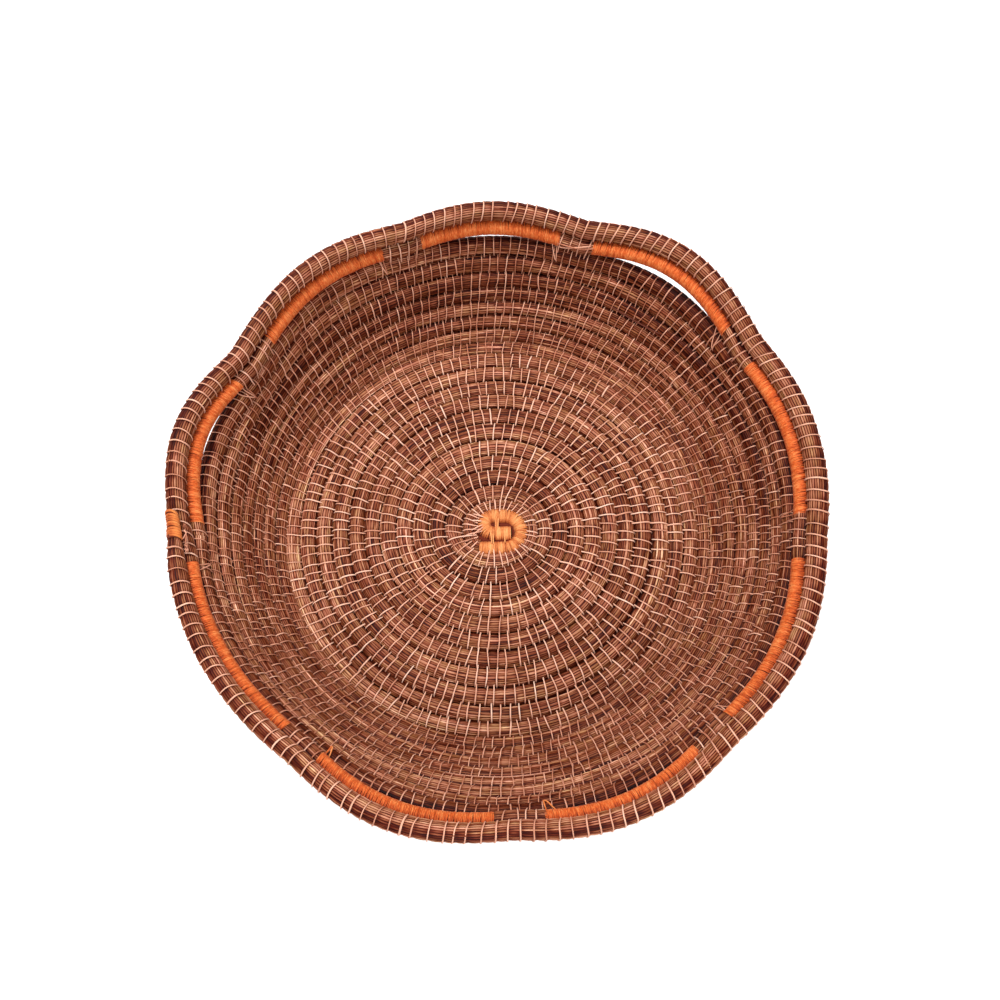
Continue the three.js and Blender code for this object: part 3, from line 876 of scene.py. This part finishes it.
bind_low, bind_high = first_arch_turns + 2 + (join_angle - 360.0 - np.array(rim_wrap)) / 360.0
rim_stitches = stitch_turns(rim_frames, first_rim_turns, shown_rim_turns, constant(rim_stitch_spacing))
bundle_piece("rim_needles", "rim_coil", rim_frames, first_rim_turns, shown_rim_turns, rim_stitches,
             rim_size, rim_size, squareness=2.1, drawn=top_drawn, pinch=0.3 * mm, slot="rim_needle_bundle",
             variety=0.6, tone_shift=0.04)
rim_shown = rim_stitches[rim_stitches < bind_low - 0.002]
rim_path = over_coil(rim_shown, rim_size, rim_size, -0.2 * mm, 0.3 * mm, 2 * wrap_radius)
stitches_piece("rim_stitches", rim_frames, rim_shown, rim_path, width=0.36 * mm, slant=0.85 * mm,
               slot="rim_needle_bundle", tone_shift=-0.12)


# Windings: one thread wound round a coil as a helix, with the hand's unevenness
def winding(name, frames, low, high, radius_at, material, slot, node,
            turn_spacing, half_width, half_thickness, lean=0.0, steps=16, spread=0.1):
    fine = np.linspace(low, high, 800)
    length = length_along(frames(fine)[0])
    wound = length[-1] / turn_spacing
    count = int(wound * steps) + 1
    turn = np.arange(count) / steps
    whole = int(wound) + 3
    jitter = rng.normal(0, 0.14 * turn_spacing, whole)
    tilt = rng.normal(lean, 0.3 * turn_spacing, whole)
    lift = np.abs(rng.normal(0, 0.1 * mm, whole))
    tones = rng.normal(0.5, spread, whole)
    phase = np.interp(turn, np.arange(whole), np.arange(whole) * turn_spacing + jitter)
    phi = 2 * np.pi * turn
    place = phase + np.interp(turn, np.arange(whole), tilt) * np.cos(phi)
    place = np.clip(place, 0.0, length[-1])
    turns = np.interp(place, length, fine)
    centre, across, through, along = frames(turns)
    radius = radius_at(turns) + np.interp(turn, np.arange(whole), lift)
    out = np.cos(phi)[:, None] * across + np.sin(phi)[:, None] * through
    middle = centre + radius[:, None] * out
    ring = 2 * np.pi * (np.arange(thread_sides) + 0.25) / thread_sides
    rings = (middle[:, None, :] + half_thickness * np.sin(ring)[None, :, None] * out[:, None, :]
             + half_width * np.cos(ring)[None, :, None] * along[:, None, :])
    # painted shade: darker down the two sides, where other turns lie close
    tone = np.interp(turn, np.arange(whole), tones) - 0.34 * smooth((np.abs(np.cos(phi)) - 0.55) / 0.45)
    tone = np.broadcast_to(np.clip(tone + 0.06, 0.0, 0.95)[:, None], rings.shape[:2])
    run = np.arange(count) / steps * 26 * mm
    grain = grain_of(run, np.arange(thread_sides + 1) * thread_side)
    strips = max(1, round(math.sqrt(count * 1.3 / 4.0)))
    piece = tube_mesh(name, rings[None], {"tone": tone}, grain[None], strips)
    settle(piece, material, slot, node)


def core(name, frames, low, high, radius_at, material, slot, sides=20, rings=90):
    """The layer that shows dark between the turns of a winding: painted shade."""
    turns = np.linspace(low, high, rings)
    centre, across, through, _ = frames(turns)
    points = centre[:, None, :] + radius_at(turns)[:, None, None] * spokes(sides, across, through)
    tone = np.full(points.shape[:2], 0.4)
    run = length_along(centre)
    grain = grain_of(run, np.arange(sides + 1) * core_side)
    piece = tube_mesh(name, points[None], {"tone": tone}, grain[None], strips=2)
    settle(piece, material, slot)


thread_radius = 4.05 * mm
core_depth = 0.06 * mm
for i, (low, high) in enumerate(wrap_spans):
    winding(f"arch_winding_{i + 1}", arch_frames, low, high, constant(thread_radius), orange, "wrap_raffia",
            f"arch_wrap_{i + 1}", turn_spacing=0.6 * mm, half_width=0.36 * mm, half_thickness=0.27 * mm)
    core(f"arch_winding_core_{i + 1}", arch_frames, low, high, constant(thread_radius - core_depth), painted_shade_fill,
         "wrap_raffia")


def rim_bind_radius(turns):
    return rim_size(turns) + 0.35 * mm


winding("rim_end_binding", rim_frames, bind_low, bind_high, rim_bind_radius, binding, "wrap_raffia",
        "rim_end_wrap", turn_spacing=1.25 * mm, half_width=0.66 * mm, half_thickness=0.36 * mm,
        lean=1.0 * mm, steps=20)
core("rim_end_core", rim_frames, bind_low, bind_high, rim_bind_radius, painted_shade_fill, "wrap_raffia")


# The start
winding("start_winding", start_frames, 0.0, 1.0, constant(start_bundle), pale_orange, "start_raffia",
        "centre_start", turn_spacing=0.66 * mm, half_width=0.42 * mm, half_thickness=0.28 * mm,
        steps=18, spread=0.2)
core("start_core", start_frames, 0.0, 1.0, constant(start_bundle - core_depth), painted_shade_fill, "start_raffia",
     rings=140)


# Dark strands of painted shade that fill the slots between the start's wound strands from below
start_webs = [
    ([(-6.5, 4.55), (8.4, 4.2)], 2.3 * mm),
    ([(-12.0, -1.6), (-7.6, -3.9), (7.0, -4.4)], 2.2 * mm),
    ([(7.6, 5.0), (8.0, 0.0), (6.6, -4.6)], 2.2 * mm),
]
for i, (points, radius) in enumerate(start_webs):
    frames = level_frames(np.array(points) * mm - footprint_centre, 2.4 * mm)
    core(f"start_web_{i + 1}", frames, 0.0, 1.0, constant(radius), painted_shade_fill, "start_raffia", sides=12, rings=30)


# Painted shade: a dark tube under the inner side of each base turn, so that the seams between turns show dark
def seam_frames(turns):
    centre, across, through, along = base_frames(turns)
    inward = coil_reach(turns)[:, None] + 0.1 * mm
    return centre - inward * across - 1.2 * mm * through, across, through, along


core("base_seam", seam_frames, lead_turns, flat_turns + 1, constant(1.7 * mm), seam, "needle_bundle",
     rings=1200)


# Single threads through a few points
def cords(name, material, slot, lines, radius, tone_shift=0.0):
    """Each line is a list of points; the thread runs smoothly through them."""
    rings = []
    for points in lines:
        points = np.array(points)
        knots = np.linspace(0, 1, len(points))
        share = np.linspace(0, 1, cord_rings)
        order = min(len(points) - 1, 3)
        middle = np.stack([np.polyval(np.polyfit(knots, points[:, k], order), share) for k in range(3)], -1)
        ahead = unit(np.gradient(middle, axis=0))
        side = unit(np.cross(ahead, [0.13, 0.21, 0.97]))
        up = np.cross(side, ahead)
        thin = radius * (1 - 0.45 * np.abs(2 * share - 1) ** 6)
        rings.append(middle[:, None, :] + thin[:, None, None] * spokes(thread_sides, side, up))
    threads_piece(name, material, slot, np.stack(rings), tone_shift)


def start_thread(x_from, y_from, x_to, y_to, dip):
    """A thread laid over the wound start from one crown to another, all in mm. It sags by dip between."""
    crown = start_height + start_bundle + 0.4 * mm
    sags = ((0.0, 0.25), (0.3, dip), (0.7, dip), (1.0, 0.25))
    return [(mix(x_from, x_to, s) * mm - footprint_centre[0], mix(y_from, y_to, s) * mm - footprint_centre[1],
             crown - sag * mm) for s, sag in sags]


start_ties = [
    (-2.5, 9.0, -2.2, 0.6, 1.3), (-1.7, 9.6, -1.6, 0.2, 1.2), (-0.9, 8.8, -1.1, 0.8, 1.3),
    (-4.4, 0.4, -4.3, -6.6, 0.5), (-3.6, 0.8, -3.4, -7.2, 0.5), (2.3, 0.4, 2.6, -6.4, 0.5),
]
start_stitches = [
    (-14.2, -2.2, -8.6, 2.2, -0.1), (-14.8, 0.4, -9.0, 3.4, -0.1),
    (-14.8, 5.8, -9.4, 5.4, -0.1), (-14.0, 9.4, -8.6, 7.6, -0.1),
]
cords("start_ties", pale_orange, "start_raffia", [start_thread(*tie) for tie in start_ties],
      radius=0.34 * mm, tone_shift=0.25)
cords("start_long_stitches", thread, "start_raffia", [start_thread(*line) for line in start_stitches],
      radius=0.32 * mm)


# Tails: at the end of each winding a thread runs down into the wall's last turn and back up
def on_coil(frames, turns, phi, radius):
    centre, across, through, _ = (v[0] for v in frames(np.array([turns])))
    return centre + radius * (math.cos(math.radians(phi)) * across + math.sin(math.radians(phi)) * through)


def tail(high, drop, spread):
    per_mm = mm / (2 * math.pi * meridian_at(high)[0])
    apex = on_coil(coil_frames, high - 1 + drop * per_mm, 140.0, bundle_depth + 0.3 * mm)
    lines = []
    for back in (0.8, spread):
        start = on_coil(arch_frames, high - back * per_mm, 120.0, wrap_radius)
        way = [
            on_coil(coil_frames, high - 1 + mix(-back, drop, share) * per_mm, phi, bundle_depth + rise * mm)
            for share, phi, rise in ((0.3, 50.0, 0.8), (0.7, 95.0, 0.6))]
        lines.append([start, *way, apex])
    return lines


tail_drops = (0.2, 1.0, -1.4, -1.0, -0.4, 0.6, 1.2, 0.8, -0.6)
tail_spreads = (3.4, 4.6, 3.0)
tails = [tail(high, tail_drops[i], tail_spreads[i % 3]) for i, (_, high) in enumerate(wrap_spans)]
cords("winding_tails", thread, "wrap_raffia", sum(tails[:4] + tails[6:], []), 0.3 * mm, tone_shift=-0.25)
cords("winding_tails_orange", orange, "wrap_raffia", sum(tails[4:6], []), 0.36 * mm, tone_shift=0.2)


# Loose bits: a thread along the coil between the first two windings, knots and ends at the rim's
# joint, a pale stem along the near wall and a needle that has sprung out of the far one
def along_coil(frames, places):
    return [on_coil(frames, turns, phi, radius * mm) for turns, phi, radius in places]


cords("loose_thread", thread, "wrap_raffia", [
    along_coil(arch_frames, [(20.884, 100, 4.4), (20.891, 92, 4.9), (20.898, 84, 4.9), (20.906, 72, 4.5)]),
    along_coil(arch_frames, [(20.885, 118, 4.4), (20.890, 108, 4.9), (20.899, 72, 5.0), (20.904, 62, 4.6)]),
], 0.42 * mm, tone_shift=-0.36)
rim_ends = []
rim_knots = ((22.5790, 128, 0.0008, 2), (22.5740, 126, 0.0014, 2), (22.5672, 130, 0.0009, 6))
for turns, phi, length, number in rim_knots:
    for _ in range(number):
        jitter = rng.normal(0, 1, 8)
        rim_ends.append(along_coil(rim_frames, [
            (turns + length * jitter[2 * k], phi + 14 * jitter[2 * k + 1], radius)
            for k, radius in enumerate((4.3, 5.4, 5.3, 4.4))]))
rim_ends.append(along_coil(
    rim_frames, [(22.5768, 112, 4.8), (22.574, 118, 5.3), (22.570, 124, 5.4), (22.567, 130, 4.8)]))
cords("rim_joint_knots", thread, "wrap_raffia", rim_ends, 0.27 * mm, tone_shift=-0.38)
cords("pale_stem", thread, "needle_bundle", [
    along_coil(coil_frames, [(17.315, 114, 4.5), (17.336, 118, 4.6), (17.358, 118, 4.6), (17.380, 114, 4.5)]),
], 0.29 * mm, tone_shift=-0.1)
cords("sprung_needle", seam, "needle_bundle", [
    along_coil(coil_frames, [(17.928, 104, 4.4), (17.938, 112, 5.2), (17.952, 112, 5.3), (17.966, 96, 4.5)]),
], 0.4 * mm, tone_shift=0.4)


# Floor, light and camera
daylight = 0.44
floor_half = 6.0
paper_grey = (0.9, 0.9, 0.9, 1.0)
seen_grey = (0.55, 0.55, 0.55, 1.0)
seen_glow = 0.68
target = np.array([-footprint_centre[0], -footprint_centre[1], coil_depth])
view_distance = 62 * pitch
view_elevation = math.radians(71.5)
look_elevation = view_elevation - math.atan(33.0 / 1000.0)
position = target + view_distance * np.array([0.0, -math.cos(view_elevation), math.sin(view_elevation)])
camera = bpy.data.objects.new("camera", bpy.data.cameras.new("camera"))
camera.data.lens = 36.0
camera.data.sensor_width = 36.0
camera.data.clip_start = 0.01
camera.data.clip_end = 20.0
camera.location = position
direction = Vector((0.0, math.cos(look_elevation), -math.sin(look_elevation)))
camera.rotation_mode = "QUATERNION"
camera.rotation_quaternion = direction.to_track_quat("-Z", "Y")
bpy.context.scene.collection.objects.link(camera)
bpy.context.scene.camera = camera

floor_mesh = bpy.data.meshes.new("floor")
floor_corners = [(x * floor_half, y * floor_half, 0) for x, y in ((-1, -1), (1, -1), (1, 1), (-1, 1))]
floor_mesh.from_pydata(floor_corners, [], [(0, 1, 2, 3)])
floor = bpy.data.objects.new("floor", floor_mesh)
bpy.context.scene.collection.objects.link(floor)
paper = bpy.data.materials.new("paper")
add, join = node_tools(paper)
paths = add("ShaderNodeLightPath")
seen = maths(add, join, "MAXIMUM", paths.outputs["Is Camera Ray"], paths.outputs["Is Glossy Ray"])
seen = maths(add, join, "MAXIMUM", seen, paths.outputs["Is Transmission Ray"])
dull = add("ShaderNodeBsdfDiffuse")
preset(dull, {"Color": paper_grey})
shown = add("ShaderNodeBsdfDiffuse")
preset(shown, {"Color": seen_grey})
glow = add("ShaderNodeEmission")
preset(glow, {"Strength": seen_glow})
both = add("ShaderNodeAddShader")
join(shown.outputs[0], both.inputs[0])
join(glow.outputs[0], both.inputs[1])
switch = add("ShaderNodeMixShader")
join(seen, switch.inputs["Fac"])
join(dull.outputs[0], switch.inputs[1])
join(both.outputs[0], switch.inputs[2])
join(switch.outputs[0], add("ShaderNodeOutputMaterial").inputs["Surface"])
floor_mesh.materials.append(paper)

world = bpy.data.worlds.new("studio")
bpy.context.scene.world = world
add, join = node_tools(world)
paths = add("ShaderNodeLightPath")
sky = add("ShaderNodeBackground")
preset(sky, {"Color": (1.0, 1.0, 1.0, 1.0)})
strength = maths(add, join, "MULTIPLY_ADD", paths.outputs["Is Camera Ray"], 1.0 - daylight, daylight)
join(strength, sky.inputs["Strength"])
join(sky.outputs[0], add("ShaderNodeOutputWorld").inputs["Surface"])


lamp_target = Vector((0.0, 0.0, 0.03))


def lamp(name, place, size, power):
    data = bpy.data.lights.new(name, "AREA")
    data.shape = "DISK"
    data.size = size
    data.energy = power
    light = bpy.data.objects.new(name, data)
    light.location = place
    light.rotation_mode = "QUATERNION"
    light.rotation_quaternion = (lamp_target - Vector(place)).to_track_quat("-Z", "Y")
    bpy.context.scene.collection.objects.link(light)


lamp("key", (-0.3, 0.6, 1.45), 0.6, 27.0)
lamp("fill", (0.3, -1.2, 1.0), 0.9, 14.0)

bpy.context.scene.view_settings.view_transform = "Standard"
